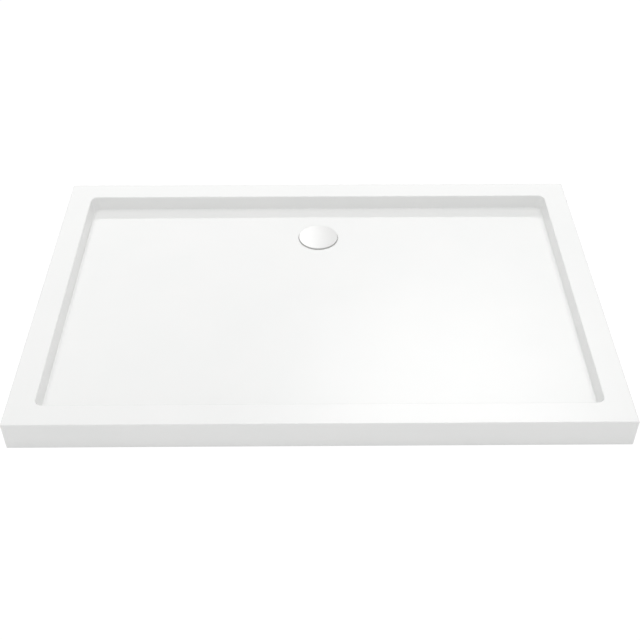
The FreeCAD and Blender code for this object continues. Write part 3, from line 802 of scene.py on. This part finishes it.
def seen_directly(tree):
    """1 for rays from the camera, a mirror or glass, 0 for the rays that light the object."""
    path = add(tree, "ShaderNodeLightPath").outputs
    either = add(
        tree,
        "ShaderNodeMath",
        {"operation": "MAXIMUM"},
        {0: path["Is Camera Ray"], 1: path["Is Glossy Ray"]},
    )
    return add(
        tree,
        "ShaderNodeMath",
        {"operation": "MAXIMUM"},
        {0: either.outputs[0], 1: path["Is Transmission Ray"]},
    ).outputs[0]


# Matt white paper, which lights the tray from below as plain paper does. Seen directly, it glows
# nearly white under a thin layer of real light, in which the tray's shadow shows.
paper = new_finish("white paper sweep, matt")
tree = paper.node_tree
lit = add(tree, "ShaderNodeBsdfDiffuse", None, {"Color": colour("#fafafa")})
shade = add(tree, "ShaderNodeBsdfDiffuse", None, {"Color": (0.13, 0.13, 0.13, 1)})
white = add(tree, "ShaderNodeEmission", None, {"Color": (1, 1, 1, 1), "Strength": 0.93})
both = add(tree, "ShaderNodeAddShader", None, {0: shade.outputs[0], 1: white.outputs[0]})
mixed = add(
    tree,
    "ShaderNodeMixShader",
    None,
    {0: seen_directly(tree), 1: lit.outputs[0], 2: both.outputs[0]},
)
add(tree, "ShaderNodeOutputMaterial", None, {"Surface": mixed.outputs[0]})
ground.data.materials.append(paper)


# Light: a wide soft panel behind and above the tray, which the gloss mirrors, a large soft light
# overhead that models the forms, a weak one in front, and an even white room.

panel_place = (0.15, 2.45, 2.15)
panel_spot = (0.62, 0.73, 0)
panel_reach = 1.5
panel_bright = 5.1
panel_dim = 2.85
room_light = 0.65


def turn_to_tray(light, place, forward):
    """Puts a light somewhere and turns it to the tray."""
    light.location = place
    light.rotation_euler = (-Vector(place)).to_track_quat(forward, "Y").to_euler()


panel = flat_sheet("light_panel", width=4.6, depth=1.9)
turn_to_tray(panel, panel_place, "Z")
panel.visible_camera = False
panel.visible_diffuse = False

# Diffuser cloth with its lamp behind it: brightest at one spot, dimmer away from it, and seen
# only in the gloss.
cloth = new_finish("lit diffuser cloth")
tree = cloth.node_tree
place = add(tree, "ShaderNodeTexCoord").outputs["Object"]
reach = add(
    tree,
    "ShaderNodeVectorMath",
    {"operation": "DISTANCE"},
    {0: place, 1: panel_spot},
)
level = add(
    tree,
    "ShaderNodeMapRange",
    {"interpolation_type": "SMOOTHERSTEP"},
    {
        "Value": reach.outputs["Value"],
        "From Min": 0,
        "From Max": panel_reach,
        "To Min": panel_bright,
        "To Max": panel_dim,
    },
)
glow = add(tree, "ShaderNodeEmission", None, {"Color": (1, 1, 1, 1), "Strength": level.outputs[0]})
add(tree, "ShaderNodeOutputMaterial", None, {"Surface": glow.outputs[0]})
panel.data.materials.append(cloth)


def soft_light(name, width, depth, watts, place):
    """A soft rectangle that lights the tray without showing in its gloss."""
    made = bpy.data.lights.new(name, "AREA")
    made.shape = "RECTANGLE"
    made.size, made.size_y = width, depth
    made.energy = watts
    lamp = bpy.data.objects.new(name, made)
    turn_to_tray(lamp, place, "-Z")
    lamp.visible_camera = False
    lamp.visible_glossy = False
    bpy.context.scene.collection.objects.link(lamp)
    return lamp


soft_light("overhead_light", width=4.0, depth=3.0, watts=31, place=(0, 0.4, 3.0))
soft_light("front_light", width=3.0, depth=1.6, watts=6, place=(-0.3, -3.2, 1.3))

# A small low light from the left rakes across the cover's face alone and brings out its dome.
rake = soft_light("cover_rake_light", width=0.5, depth=0.3, watts=120, place=(-2.2, 0.225, 0.24))
face_alone = bpy.data.collections.new("raked by the low light")
face_alone.objects.link(face)
rake.light_linking.receiver_collection = face_alone

world = bpy.data.worlds.new("white room")
bpy.context.scene.world = world
world.use_nodes = True
tree = world.node_tree
tree.nodes.clear()
room = add(
    tree,
    "ShaderNodeMapRange",
    None,
    {"Value": seen_directly(tree), "To Min": room_light, "To Max": 1.0},
)
sky = add(tree, "ShaderNodeBackground", None, {"Color": (1, 1, 1, 1), "Strength": room.outputs[0]})
add(tree, "ShaderNodeOutputWorld", None, {"Surface": sky.outputs[0]})


# Camera: in front of the tray and about 1.5 m up, looking down by 41 degrees.

camera_place = (-0.0098, -1.7015, 1.4681)
camera_turn = (48.62, 0.0115, -0.418)
lens = bpy.data.cameras.new("camera")
lens.sensor_width = 36
lens.lens = 57.25
camera = bpy.data.objects.new("camera", lens)
camera.location = camera_place
camera.rotation_euler = Euler([math.radians(angle) for angle in camera_turn], "XYZ")
bpy.context.scene.collection.objects.link(camera)
bpy.context.scene.camera = camera
bpy.context.scene.view_settings.view_transform = "Standard"
